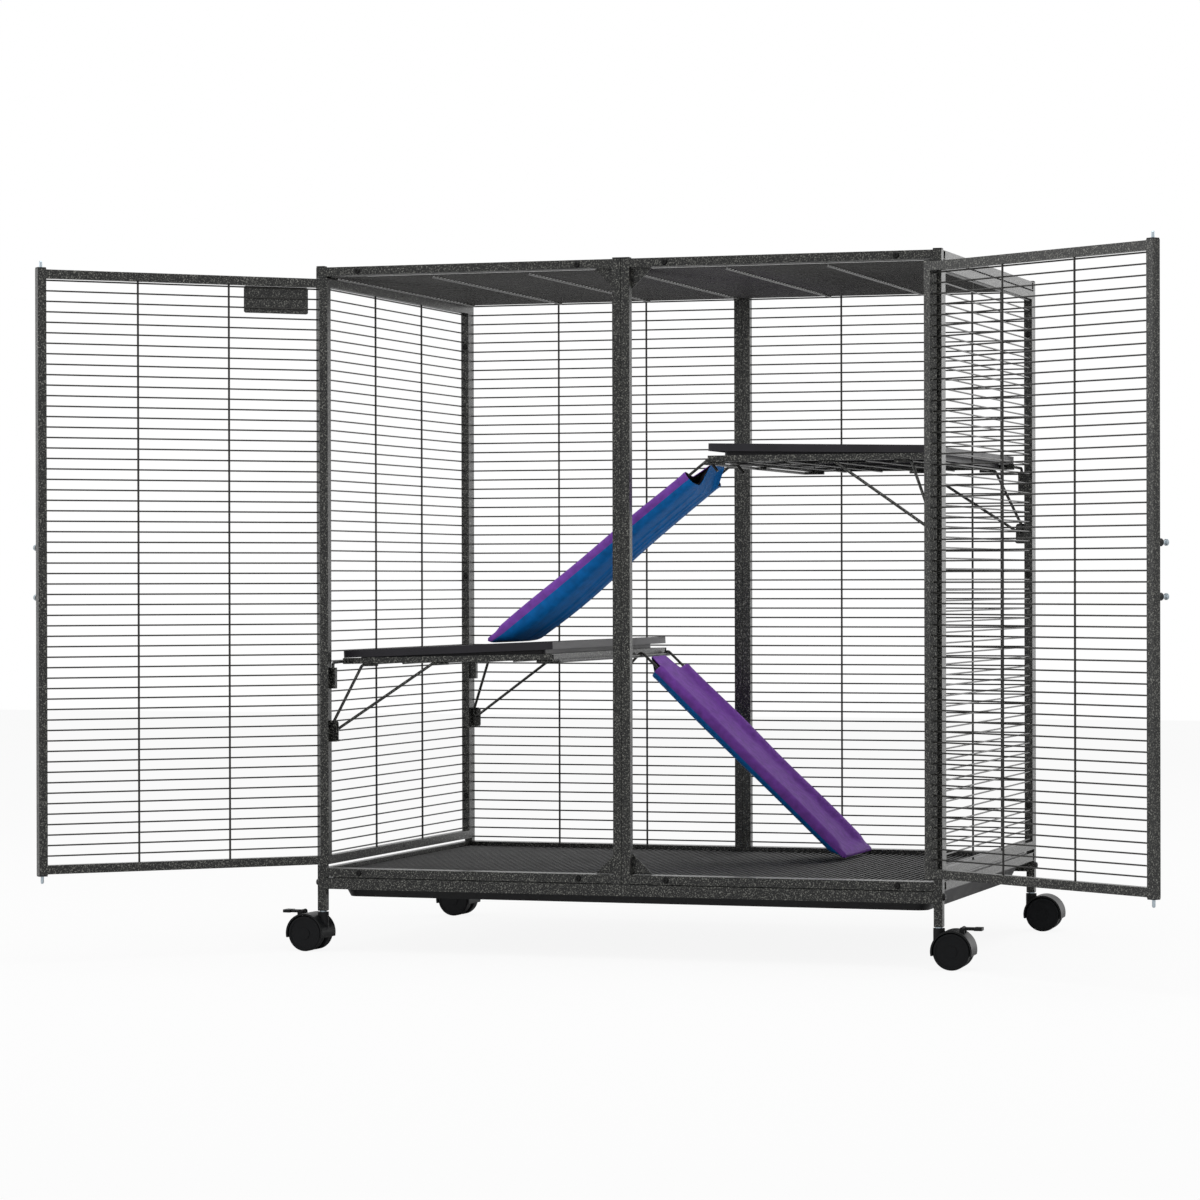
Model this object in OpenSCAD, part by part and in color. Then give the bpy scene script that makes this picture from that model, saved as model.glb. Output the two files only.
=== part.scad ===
// Ferret cage on casters: two-door wire cabinet with a slide-out tray, two shelves and two ramps.
// Millimetres, +Z up. The origin is on the floor under the middle of the cabinet, front at -Y.
// Modules are drawn from the left front leg end: x to the right, y to the rear, z up.

/* [Cabinet] */
// Outside width over the corner posts
cage_w = 914.4; // [880:0.1:960]
// Outside depth over the corner posts
cage_d = 622.8; // [600:0.1:660]
// Height of the welded frames, leg ends to top rails
frame_h = 919.3; // [900:0.1:960]
// Height of the leg ends above the floor
caster_h = 58; // [56:0.5:62]
// Side of the square frame tube
tube = 12.2; // [11.6:0.1:12.8]
// Wall of the frame tube
tube_wall = 1.0; // [0.8:0.1:1.4]
// Gap between the two middle tubes of a face
middle_gap = 0.6; // [0.4:0.1:1.2]
// Height of the floor-level rails above the leg ends
floor_rail_z = 48; // [46:0.5:52]
// Height of the plastic caps on the post tops
cap_t = 2.1; // [1.5:0.1:3]

/* [Lower rails and tray] */
// Height of the lower rail tube
lower_rail_h = 16; // [14:0.5:18]
// Gap between the lower rail and the rail above it
rail_gap = 1.2; // [0.8:0.1:1.6]
// Width of the runner that carries the tray rim
runner_w = 9; // [7:0.5:12]
// Thickness of the runner
runner_t = 1.5; // [1:0.1:2]
// Depth of the tray below its rim
tray_depth = 28.5; // [22:0.5:30]
// Thickness of the tray's moulded wall
tray_wall = 2.2; // [1.6:0.1:3]
// Slope of the tray walls, inward from rim to bottom
tray_draft = 14; // [6:0.5:14]
// Width of the rim at the tray's two ends
tray_end_rim = 8; // [3:0.5:10]
// Clearance left all round the tray rim
tray_clear = 0.8; // [0.4:0.1:2]

/* [Wires] */
// Diameter of the close-set wires
wire_d = 2.2; // [1.8:0.1:2.6]
// Diameter of the cross wires
cross_d = 3.0; // [2.6:0.1:3.4]
// Pitch of the wires in the upright panels
wire_pitch = 14.45; // [13:0.05:18]
// Pitch of the wires in the roof
roof_pitch = 15.0; // [14:0.1:18]
// Pitch of the wires in the floor
floor_pitch = 9.3; // [9:0.1:14]
// Pitch of the roof's cross wires
roof_cross_pitch = 145; // [140:1:145]
// Pitch of the floor's cross wires
floor_cross_pitch = 150; // [120:1:160]
// How far the floor wires lie below the tops of the floor-level rails
floor_sink = 5.5; // [4:0.1:6]
// Gap between the side panels and the floor-level rails
panel_gap = 4.9; // [4:0.1:6]
// How far crossing wires sink into each other where they are welded
weld_sink = 0.3; // [0.2:0.05:0.4]
// Depth of the upright panels' wires behind the front face of their tubes
wire_inset = 2.4; // [1.6:0.1:3.5]

/* [Doors] */
// Gap down each side of a door
door_gap = 1.95; // [1.6:0.05:2.4]
// Gap over a door
door_gap_top = 5.9; // [5:0.1:8]
// Gap under a door
door_gap_bottom = 7.1; // [6:0.1:9]
// How far the doors stand proud of the frame, clear of their stops
door_proud = 0.3; // [0.2:0.05:0.6]
// How far the door uprights reach past the door rails
upright_over = 1.3; // [0.5:0.1:2]
// Opening angle of the left door as photographed
left_open = 135.8; // [0:0.1:190]
// Opening angle of the right door as photographed
right_open = 145.8; // [0:0.1:190]
// Distance of the hinge axis in front of the cabinet face
hinge_out = 3.0; // [2.9:0.1:3.4]
// Distance of the hinge axis outside the post's inner face
hinge_in = 1.0; // [0.9:0.05:1.1]
// Radius of the hinge barrel
barrel_r = 2.6; // [2.4:0.05:2.6]
// Radius of the hinge pin
hinge_pin_r = 1.4; // [1.2:0.05:1.5]
// Length of each hinge
hinge_len = 33; // [27:1:45]
// Distance of the outer hinges from the ends of the door
hinge_end = 60; // [40:1:120]
// Thickness of the hinge leaves
leaf_t = 1.2; // [1:0.1:1.5]

/* [Door latches] */
// Radius of the latch rod
rod_r = 2.25; // [2:0.05:2.5]
// How far the rod ends reach into the rails
rod_reach = 6; // [5:0.5:8]
// Travel of a latch rod
rod_travel = 14; // [13:0.5:16]
// Height of the upper knob above the leg ends
knob_upper_z = 518; // [500:1:560]
// Height of the lower knob above the leg ends
knob_lower_z = 449; // [400:1:460]
// Length of the knob from the face of the door tube
knob_out = 19; // [15:0.5:22]

/* [Shelves] */
// Length of a shelf from the side wall
shelf_l = 317.8; // [300:0.5:330]
// Width of a shelf
shelf_w = 547.4; // [520:0.5:560]
// Distance of a shelf's wall end from the outside of the cabinet
shelf_in = 24.5; // [23:0.1:28]
// Side of the shelf frame tube
shelf_tube = 8.6; // [8:0.1:10]
// Height of the left shelf frame's underside at the wall
left_shelf_z = 351.6; // [300:0.5:420]
// Height of the right shelf frame's underside at the wall
right_shelf_z = 636.2; // [600:0.5:700]
// Rise of the left shelf towards its free end, degrees
left_rise = 1.3; // [0:0.1:2]
// Rise of the right shelf towards its free end, degrees
right_rise = 0; // [0:0.1:2]
// Rise of the pan within its frame, degrees
pan_rise = 1.15; // [0.8:0.05:1.4]
// Height of the pan's rim skirt
skirt_h = 10.6; // [9:0.1:12]
// Depth of the pan body below the skirt
pan_body = 6.4; // [5.5:0.1:6.8]
// Inset of the pan body behind the skirt
body_inset = 18; // [15:0.5:22]
// Diameter of the brace and hook rods
brace_d = 4.2; // [3.8:0.1:4.6]
// Height of the brackets
bracket_h = 30; // [26:0.5:32]
// Distance from the upper bracket's top down to the lower bracket's top
bracket_drop = 76; // [70:0.5:82]

/* [Ramps] */
// Width between the ramp frame's side rods
ramp_w = 134; // [120:1:142]
// Sloping length of the lower ramp
lower_ramp_l = 432; // [420:1:440]
// Sloping length of the upper ramp
upper_ramp_l = 405; // [398:1:420]
// Distance of the lower ramp's middle from the front
lower_ramp_y = 500; // [440:1:500]
// Distance of the upper ramp's middle from the front
upper_ramp_y = 132; // [132:1:180]
// Diameter of the ramp frame rods
ramp_rod_d = 4; // [3.6:0.1:4.4]
// Thickness of the fabric cover's layers
cover_t = 2.5; // [2:0.1:3]
// Room between the cover and the rods inside it
cover_gap = 0.4; // [0.2:0.1:0.8]

/* [Casters] */
// Radius of the caster wheels
wheel_r = 25.4; // [24:0.1:26]
// Distance of the wheel axle behind the stem
trail = 20; // [18:0.5:22]
// Width over the twin wheels
caster_w = 46; // [40:0.5:48]
// Radius of the caster stem
stem_r = 3.5; // [3:0.1:4]

/* [Hidden] */

$fn = 48;
slip = 0.05;                                   // running clearance of pins, rods and stems
seat = 0.2;                                    // clearance where one piece rests on another
eps = 0.01;

opening = cage_w / 2 - middle_gap / 2 - 2 * tube;      // clear width of one doorway
middle_x = tube + opening;                             // inner edge of the left middle tube
rail_top_z = frame_h - tube;                           // underside of the top rails
floor_top = floor_rail_z + tube;                       // top of the floor-level rails
lower_top = floor_rail_z - rail_gap;                   // top of the lower rails
floor_wire_top = floor_top - floor_sink;               // where feet and the lower ramp rest
panel_z0 = floor_top + panel_gap;                      // side panels hang clear of the floor
panel_z1 = rail_top_z - wire_d;                        // and reach up to the roof wires
inner_y0 = tube;                                       // the panels lie between the two faces
inner_y1 = cage_d - tube;

screw_r = 2.4;                                 // roof and floor screws
screw_side = 63;                               // distance of the outer screws from the sides
screw_mid = 64;                                // distance of the inner screws from the middle
bolt_r = 3;                                    // leg bolts
bolt_z = 40;
vent_r = 1.5;                                  // vent holes that every closed tube has
first_wire = 2.2;                              // the top wire of a panel, below the panel's top

door_x0 = tube + door_gap;
door_w = opening - 2 * door_gap;
door_x1 = door_x0 + door_w;
door_z0 = floor_top + door_gap_bottom;
door_z1 = rail_top_z - door_gap_top;
door_y = -door_proud;
hinge_x = tube + hinge_in;
hinge_y = -hinge_out;
rod_x = door_x1 - tube / 2;
rod_y = door_y + tube / 2;
hinge_zs = [door_z0 + hinge_end, (door_z0 + door_z1) / 2, door_z1 - hinge_end];

// ---------- helpers ----------

module in_place() translate([-cage_w / 2, -cage_d / 2, caster_h]) children();

module on_right() translate([cage_w, 0, 0]) mirror([1, 0, 0]) children();

module on_rear() translate([0, cage_d, 0]) mirror([0, 1, 0]) children();

// Square tube with open ends along one axis.
module box_tube(size, axis, wall = tube_wall) {
    difference() {
        cube(size);
        translate([axis == 0 ? -1 : wall, axis == 1 ? -1 : wall, axis == 2 ? -1 : wall])
            cube([size[0] + (axis == 0 ? 2 : -2 * wall), size[1] + (axis == 1 ? 2 : -2 * wall),
                  size[2] + (axis == 2 ? 2 : -2 * wall)]);
    }
}

module bar_x(at, len, r) translate(at) rotate([0, 90, 0]) cylinder(h = len, r = r);
module bar_y(at, len, r) translate(at) rotate([-90, 0, 0]) cylinder(h = len, r = r);
module bar_z(at, len, r) translate(at) cylinder(h = len, r = r);

// Rectangle with round corners.
module round_rect(size, r) {
    translate([r, 0]) square([size[0] - 2 * r, size[1]]);
    translate([0, r]) square([size[0], size[1] - 2 * r]);
    for (x = [r, size[0] - r], y = [r, size[1] - r]) translate([x, y]) circle(r);
}

function unit(v) = v / norm(v);

// Round bar bent along a list of points, with a true elbow at each inner point.
// The elbows are a hair fatter than the bar, which reaches a little way into them.
module bent_bar(pts, r, bend) {
    n = len(pts);
    swell = 0.03;
    reach = 0.3;
    cut = [for (i = [0 : n - 1])
        i == 0 || i == n - 1 ? 0
        : bend * tan(acos(unit(pts[i] - pts[i - 1]) * unit(pts[i + 1] - pts[i])) / 2) - reach];
    for (i = [0 : n - 2]) {
        d = unit(pts[i + 1] - pts[i]);
        span = norm(pts[i + 1] - pts[i]) - cut[i] - cut[i + 1];
        translate(pts[i] + d * cut[i]) rotate([0, acos(d[2]), atan2(d[1], d[0])])
            cylinder(h = span, r = r);
    }
    for (i = [1 : n - 2]) {
        din = unit(pts[i] - pts[i - 1]);
        dout = unit(pts[i + 1] - pts[i]);
        turn = acos(din * dout);
        centre = pts[i] + unit(dout - din) * bend / cos(turn / 2);
        ex = unit(pts[i] - din * (cut[i] + reach) - centre);
        ez = cross(ex, din);
        multmatrix([[ex[0], din[0], ez[0], centre[0]], [ex[1], din[1], ez[1], centre[1]],
                    [ex[2], din[2], ez[2], centre[2]]])
            rotate_extrude(angle = turn) translate([bend, 0]) circle(r + swell);
    }
}

// Button-head screw along +Y, head face towards -Y, with a hexagon socket.
module screw_y(at, len, r) {
    translate(at) rotate([-90, 0, 0]) {
        cylinder(h = len, r = r);
        difference() {
            translate([0, 0, -r * 1.1]) cylinder(h = r * 1.1, r1 = r * 1.3, r2 = r * 1.9);
            translate([0, 0, -r * 1.1 - 1]) cylinder(h = 1 + r * 0.7, r = r * 0.7, $fn = 6);
        }
    }
}

// ---------- welded frames ----------

// Triangular stop plate in a corner beside a middle tube, welded to the tube's back.
stop_t = 2;
module stop_plate(z, up) {
    leg = 29;
    lap = tube * 0.8;
    off = up * 0.4;                            // clear of the rail, so that only the middle tube is met
    translate([middle_x, tube + stop_t, z]) rotate([90, 0, 0]) linear_extrude(stop_t)
        polygon([[lap, off], [-leg, off], [0, off + up * leg], [lap, off + up * leg]]);
}

// Fixed half of a hinge: a leaf on the post with two barrel knuckles.
module post_hinge(z) {
    knuckle = hinge_len / 3 - 0.3;
    difference() {
        union() {
            translate([2.5, -leaf_t, z - hinge_len / 2]) cube([tube - 5.2, leaf_t, hinge_len]);
            for (z0 = [z - hinge_len / 2, z + hinge_len / 2 - knuckle]) {
                bar_z([hinge_x, hinge_y, z0], knuckle, barrel_r);
                translate([tube - 3, hinge_y, z0]) cube([hinge_x - tube + 1.4, -hinge_y, knuckle]);
            }
        }
        bar_z([hinge_x, hinge_y, z - hinge_len], 2 * hinge_len, hinge_pin_r + slip);
        translate([tube, -0.6, z - hinge_len]) cube([4, 2, 2 * hinge_len]);
    }
}

module face_tubes() {
    box_tube([tube, tube, frame_h], 2);
    for (z = [rail_top_z, floor_rail_z]) translate([tube, 0, z]) box_tube([opening, tube, tube], 0);
    translate([middle_x, 0, floor_rail_z]) box_tube([tube, tube, frame_h - floor_rail_z], 2);
}

module face_holes() {
    for (x = [screw_side, cage_w / 2 - screw_mid], z = [rail_top_z + tube / 2, floor_rail_z + tube / 2])
        bar_y([x, -1, z], tube + 2, screw_r + slip);
    bar_x([-1, tube / 2, bolt_z], tube + 2, bolt_r + slip);
    for (z = side_screw_zs) bar_y([tube / 2, tube - tube_wall - 1, z], tube_wall + 2, screw_r + slip);
}

module front_half() {
    difference() {
        union() {
            face_tubes();
            stop_plate(rail_top_z, -1);
            stop_plate(floor_top, 1);
            for (z = hinge_zs) post_hinge(z);
        }
        face_holes();
        bar_z([rod_x, rod_y, rail_top_z - 1], tube_wall + 2, rod_r + 0.6);
        bar_z([rod_x, rod_y, floor_top - tube_wall - 1], tube_wall + 2, rod_r + 0.6);
    }
}

module rear_half() on_rear() difference() {
    face_tubes();
    face_holes();
}

// Rectangular panel frame standing between the front and rear faces.
module side_frame() {
    d = inner_y1 - inner_y0;
    h = panel_z1 - panel_z0;
    difference() {
        translate([0, inner_y0, panel_z0]) {
            box_tube([tube, tube, h], 2);
            translate([0, d - tube, 0]) box_tube([tube, tube, h], 2);
            for (z = [0, h - tube]) translate([0, tube, z]) box_tube([tube, d - 2 * tube, tube], 1);
        }
        for (z = side_screw_zs, y = [inner_y0 - 1, inner_y1 - tube - 1])
            bar_y([tube / 2, y, z], tube + 2, screw_r + slip);
        for (z = [panel_z0 + tube / 2, panel_z1 - tube / 2])
            bar_x([tube - 2, cage_d / 2, z], 3, vent_r);
    }
}
side_wire_top = panel_z1 - tube - first_wire;    // uppermost wire of the side panels
function between_wires(z) = side_wire_top - (floor((side_wire_top - z) / wire_pitch) + 0.5) * wire_pitch;
side_screw_zs = [for (z = [panel_z0 + 60, (panel_z0 + panel_z1) / 2, panel_z1 - 60]) between_wires(z)];

// Level panel frame, the full width of the cabinet, between the front and rear faces.
module level_frame(z) {
    d = inner_y1 - inner_y0;
    difference() {
        translate([0, inner_y0, z]) {
            for (y = [0, d - tube]) translate([0, y, 0]) box_tube([cage_w, tube, tube], 0);
            for (x = [0, cage_w - tube])
                translate([x, tube, 0]) box_tube([tube, d - 2 * tube, tube], 1);
        }
        for (x = [screw_side, cage_w / 2 - screw_mid, cage_w / 2 + screw_mid, cage_w - screw_side],
             y = [inner_y0 - 1, inner_y1 - tube_wall - 1])
            bar_y([x, y, z + tube / 2], tube_wall + 2, screw_r);
        for (x = [tube - 2, cage_w - tube - 1]) bar_x([x, cage_d / 2, z + tube / 2], 3, vent_r);
    }
}

// ---------- wires ----------

// Level wires between two uprights with two upright wires welded behind them, drawn in x and z.
module upright_grille(x0, x1, z0, z1, y, crosses) {
    n = floor((z1 - z0 - first_wire - wire_d) / wire_pitch);
    for (i = [0 : n]) bar_x([x0, y, z1 - first_wire - i * wire_pitch], x1 - x0, wire_d / 2);
    for (x = crosses)
        bar_z([x, y + wire_d / 2 + cross_d / 2 - weld_sink, z0], z1 - z0, cross_d / 2);
}

module rear_grille() on_rear()
    upright_grille(tube, middle_x, floor_top, rail_top_z, wire_inset + wire_d / 2,
        [tube + opening / 3, tube + 2 * opening / 3]);

module side_grille() {
    y0 = inner_y0 + tube;
    y1 = inner_y1 - tube;
    translate([0, y1, 0]) rotate([0, 0, -90])
        upright_grille(0, y1 - y0, panel_z0 + tube, panel_z1 - tube, wire_inset + wire_d / 2,
            [(y1 - y0) / 3, 2 * (y1 - y0) / 3]);
}

module roof_grille() {
    z = rail_top_z - wire_d / 2;
    end = 0.8;                                 // the level wires stop short of the frame's sides
    slack = 0.2;                               // the cross wires stop short of its front and rear
    n = floor((inner_y1 - inner_y0 - 2 * tube - wire_d) / roof_pitch);
    start = (cage_d - n * roof_pitch) / 2;
    for (i = [0 : n]) bar_x([end, start + i * roof_pitch, z], cage_w - 2 * end, wire_d / 2);
    for (i = [-3 : 3])
        bar_y([cage_w / 2 + i * roof_cross_pitch, inner_y0 + tube + slack,
               z - wire_d / 2 - cross_d / 2 + weld_sink],
              inner_y1 - inner_y0 - 2 * (tube + slack), cross_d / 2);
}

// The floor wires end on the inner faces of their frame, with the cross wires under them.
module floor_grille() {
    z = floor_wire_top - wire_d / 2;
    n = floor((cage_w - 2 * tube - floor_pitch) / floor_pitch / 2) * 2;
    start = (cage_w - n * floor_pitch) / 2;
    front = inner_y0 + tube;
    for (i = [0 : n]) bar_y([start + i * floor_pitch, front, z], cage_d - 2 * front, wire_d / 2);
    for (i = [-1.5 : 1 : 1.5])
        bar_x([tube, cage_d / 2 + i * floor_cross_pitch, z - wire_d / 2 - cross_d / 2 + weld_sink],
              cage_w - 2 * tube, cross_d / 2);
}

// ---------- fasteners, caps and lower rails ----------

module lower_rail() {
    len = cage_w - 2 * tube;
    translate([tube, 0, lower_top - lower_rail_h]) difference() {
        union() {
            box_tube([len, tube, lower_rail_h], 0);
            translate([0, tube, runner_z - lower_top + lower_rail_h - runner_t])
                cube([len, runner_w, runner_t]);
        }
        for (x = [120, len - 120]) bar_z([x, tube / 2, -1], tube_wall + 2, vent_r);
    }
}
tray_rim_t = 2.4;
runner_z = lower_top - 0.4 - tray_rim_t - seat;        // top of the runner, under the tray rim

module rail_plug() {
    plug_l = 18;
    g = tube_wall + 0.1;
    difference() {
        translate([tube, g, lower_top - lower_rail_h + g])
            cube([plug_l, tube - 2 * g, lower_rail_h - 2 * g]);
        bar_x([tube - 1, tube / 2, bolt_z], plug_l + 2, bolt_r);
    }
}

module leg_bolt() {
    rotate([0, 0, -90]) translate([-tube / 2, 0, bolt_z]) screw_y([0, 0, 0], tube + 14, bolt_r);
}

module tube_cap(t = cap_t) {
    g = tube_wall + 0.1;
    linear_extrude(t) round_rect([tube, tube], 1.2);
    difference() {
        translate([g, g, -8]) cube([tube - 2 * g, tube - 2 * g, 8]);
        translate([g + 1.4, g + 1.4, -9]) cube([tube - 2 * g - 2.8, tube - 2 * g - 2.8, 8]);
    }
}

module leg_socket() {
    g = tube_wall + 0.1;
    difference() {
        union() {
            translate([0, 0, -0.8]) linear_extrude(0.8) round_rect([tube, tube], 1.2);
            translate([g, g, -eps]) cube([tube - 2 * g, tube - 2 * g, 30]);
        }
        bar_z([tube / 2, tube / 2, -2], 29, stem_r + slip);
    }
}

module hinge_pin(z) {
    bar_z([hinge_x, hinge_y, z - hinge_len / 2 - 0.8], hinge_len + 1.6, hinge_pin_r);
    for (z0 = [z - hinge_len / 2 - 1.8, z + hinge_len / 2 + 0.2])
        bar_z([hinge_x, hinge_y, z0], 1.6, hinge_pin_r + 0.7);
}

// ---------- tray ----------

// Body with four sloping walls and round corners: cones joined by straight prisms.
module sloped_block(x0, x1, y0, y1, z0, z1, r_low, r_high) {
    c = r_high;
    h = z1 - z0;
    translate([x0 + c, 0, z0]) rotate([90, 0, 90]) linear_extrude(x1 - x0 - 2 * c)
        polygon([[y0 + c - r_low, 0], [y1 - c + r_low, 0], [y1, h], [y0, h]]);
    translate([0, y1 - c, z0]) rotate([90, 0, 0]) linear_extrude(y1 - y0 - 2 * c)
        polygon([[x0 + c - r_low, 0], [x1 - c + r_low, 0], [x1, h], [x0, h]]);
    for (x = [x0 + c, x1 - c], y = [y0 + c, y1 - c])
        translate([x, y, z0]) cylinder(h = h, r1 = r_low, r2 = r_high, $fn = 96);
}

module tray() {
    corner = 30;
    rim_z = runner_z + seat;
    y0 = inner_y0 + tray_clear;
    y1 = inner_y1 - tray_clear;
    inset = 9;                                 // rim's ends, in from the sides of the cabinet
    x0 = inset;
    x1 = cage_w - inset;
    lip = runner_w + 2;
    a = y0 + lip;
    b = y1 - lip;
    c = x0 + tray_end_rim;
    d = x1 - tray_end_rim;
    w = tray_wall;
    difference() {
        union() {
            translate([x0, y0, rim_z]) linear_extrude(tray_rim_t) round_rect([x1 - x0, y1 - y0], corner);
            sloped_block(c, d, a, b, rim_z - tray_depth + tray_rim_t, rim_z + eps,
                corner - tray_draft, corner);
        }
        sloped_block(c + w, d - w, a + w, b - w, rim_z - tray_depth + tray_rim_t + w,
            rim_z + tray_rim_t + 1, corner - w - tray_draft, corner - w);
    }
}

// ---------- doors, drawn closed in the left doorway ----------

module open_door(angle)
    translate([hinge_x, hinge_y, 0]) rotate([0, 0, -angle]) translate([-hinge_x, -hinge_y, 0])
        children();

module door_hinge(z) {
    knuckle = hinge_len / 3 - 0.3;
    leaf_x = hinge_x + barrel_r + 1.2;
    difference() {
        union() {
            translate([leaf_x, door_y - leaf_t, z - hinge_len / 2]) cube([tube - 5.4, leaf_t, hinge_len]);
            bar_z([hinge_x, hinge_y, z - knuckle / 2], knuckle, barrel_r);
            translate([hinge_x, door_y - leaf_t, z - knuckle / 2])
                cube([leaf_x - hinge_x + 1, leaf_t, knuckle]);
        }
        bar_z([hinge_x, hinge_y, z - hinge_len], 2 * hinge_len, hinge_pin_r + slip);
    }
}

module latch_slot(z, way) {
    w = rod_r * 1.8;
    z0 = way > 0 ? z : z - rod_travel;
    translate([rod_x - w / 2, door_y - 1, z0 - w / 2]) cube([w, tube_wall + 2, rod_travel + w]);
}

module door_frame() {
    h = door_z1 - door_z0;
    difference() {
        union() {
            for (x = [door_x0, door_x1 - tube]) translate([x, door_y, door_z0 - upright_over])
                box_tube([tube, tube, h + 2 * upright_over], 2);
            for (z = [door_z0, door_z1 - tube]) translate([door_x0 + tube, door_y, z])
                box_tube([door_w - 2 * tube, tube, tube], 0);
            for (z = hinge_zs) door_hinge(z);
        }
        latch_slot(knob_upper_z, -1);
        latch_slot(knob_lower_z, 1);
        for (z = [door_z0 + tube - 2, door_z1 - tube - 1])
            bar_z([door_x0 + door_w / 2, door_y + tube / 2, z], 3, vent_r);
    }
}

module door_grille() {
    span = door_w - 2 * tube;
    upright_grille(door_x0 + tube, door_x1 - tube, door_z0 + tube, door_z1 - tube,
        door_y + wire_inset + wire_d / 2,
        [door_x0 + tube + span / 3, door_x0 + tube + 2 * span / 3]);
}

module door_caps() {
    z1 = door_z1 + upright_over;
    z0 = door_z0 - upright_over;
    difference() {
        for (x = [door_x0, door_x1 - tube]) {
            translate([x, door_y, z1]) tube_cap(1.5);
            translate([x, door_y + tube, z0]) rotate([180, 0, 0]) tube_cap(1.5);
        }
        bar_z([rod_x, rod_y, z0 - 10], z1 - z0 + 20, rod_r + slip);
    }
}

module label_plate() {
    plate = [97, 38];
    translate([door_x0 + 25.7, door_y + wire_inset, door_z1 - tube - 0.3 - plate[1]])
        rotate([90, 0, 0]) linear_extrude(1) round_rect(plate, 3);
}

// Latch rod with its knob; way is +1 for the upper rod and -1 for the lower one.
module latch(z, tip, way) {
    inner = 7;
    body = abs(tip - z) - 1.6;
    face = door_y;
    translate([rod_x, rod_y, z]) scale([1, 1, way]) {
        translate([0, 0, -inner]) cylinder(h = body + inner, r = rod_r);
        translate([0, 0, body]) cylinder(h = 1.6, r1 = rod_r, r2 = rod_r - 1);
    }
    translate([rod_x, rod_y, z]) rotate([90, 0, 0]) {
        cylinder(h = rod_y - face + knob_out - 3, r = 1.9);
        translate([0, 0, rod_y - face + 0.3]) cylinder(h = 8, r = 4.8);
        translate([0, 0, rod_y - face + knob_out - 4]) cylinder(h = 1.6, r1 = 2.4, r2 = 4.4);
        translate([0, 0, rod_y - face + knob_out - 2.4]) cylinder(h = 1.4, r = 4.4);
        translate([0, 0, rod_y - face + knob_out - 1]) cylinder(h = 1, r1 = 4.4, r2 = 3.2);
    }
}

module upper_latch() latch(knob_upper_z, rail_top_z + rod_reach, 1);
module lower_latch() latch(knob_lower_z, floor_top - rod_reach, -1);

// ---------- shelves, drawn at the left wall ----------

hook_x = tube + 5.5;                            // hook rods stand this far from the wall
hook_y = inner_y0 + 4.6;                        // and this far from the front
bracket_d = 9;                                  // depth of the brackets along the side
upper_bracket_w = 10;
lower_bracket_w = 15;
shelf_y0 = (cage_d - shelf_w) / 2;
ramp_bar_out = 7.6;                             // ramp bar, beyond the free end of the shelf
ramp_bar_d = 4.4;
ramp_bar_leg = 24;                              // its ends run back under the side tubes
brace_foot = 24;                                // the braces lie this far along the frame's tubes
brace_near = 28;                                // their wall ends start here
brace_far = 136;                                // and their other ends here
shelf_wire_x = 36;                              // first cross wire under the pan
shelf_wire_pitch = 56;
rest_u = 274;                                   // cross rod that the free end of the pan lies on
rest_r = 2.8;
pan_dish = 1.2;                                 // depth of the pan's dished floor below its rim

bar_v = weld_sink - ramp_bar_d / 2;             // height of the ramp bar's middle in the shelf frame
bar_y0 = shelf_y0 + shelf_tube / 2;

module at_shelf(z, rise) translate([shelf_in, 0, z]) rotate([0, -rise, 0]) children();

// Point of the shelf frame, given along the shelf and up from its underside, in cabinet x and z.
function shelf_pt(u, v, z, rise) =
    [shelf_in + u * cos(rise) - v * sin(rise), z + u * sin(rise) + v * cos(rise)];

module half_brackets(z) {
    top = z - 4.6;
    difference() {
        union() {
            translate([tube, inner_y0, top - bracket_h]) cube([upper_bracket_w, bracket_d, bracket_h]);
            translate([tube, inner_y0 + bracket_d, top - bracket_drop - bracket_h]) rotate([90, 0, 0])
                linear_extrude(bracket_d) union() {
                    square([lower_bracket_w - 4, bracket_h]);
                    round_rect([lower_bracket_w, bracket_h], 4);
                }
        }
        bar_z([hook_x, hook_y, top - bracket_h + 3], bracket_h, brace_d / 2 + 0.25);
        translate([tube + 2, hook_y - brace_d / 2 - seat, top - bracket_drop - bracket_h + 3])
            cube([lower_bracket_w, bracket_d, bracket_h]);
    }
}

module shelf_brackets_pair(z) {
    half_brackets(z);
    on_rear() half_brackets(z);
}

// Rods of one side: the hook that drops into the upper bracket and the bent brace under the frame.
module shelf_rods(z, rise) {
    r = brace_d / 2;
    yi = shelf_y0 + shelf_tube + r - weld_sink;
    yt = shelf_y0 + shelf_tube / 2;
    top = z - 4.6;
    low = top - bracket_drop;
    a = shelf_pt(34, r + 1.5, z, rise);
    b = shelf_pt(-3.6, r + 1.5, z, rise);
    bent_bar([[a[0], yi, a[1]], [b[0], yi, b[1]], [hook_x, hook_y, b[1] - 1],
              [hook_x, hook_y, top - 22]], r, 4);
    p = shelf_pt(brace_near + brace_foot, weld_sink - r, z, rise);
    q = shelf_pt(brace_near, weld_sink - r, z, rise);
    s = shelf_pt(brace_far, weld_sink - r, z, rise);
    t = shelf_pt(brace_far + brace_foot, weld_sink - r, z, rise);
    bent_bar([[p[0], yt, p[1]], [q[0], yt, q[1]], [tube + 5, hook_y, low - 4],
              [tube + 5, hook_y, low - 17], [s[0], yt, s[1]], [t[0], yt, t[1]]], r, 5);
}

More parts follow.
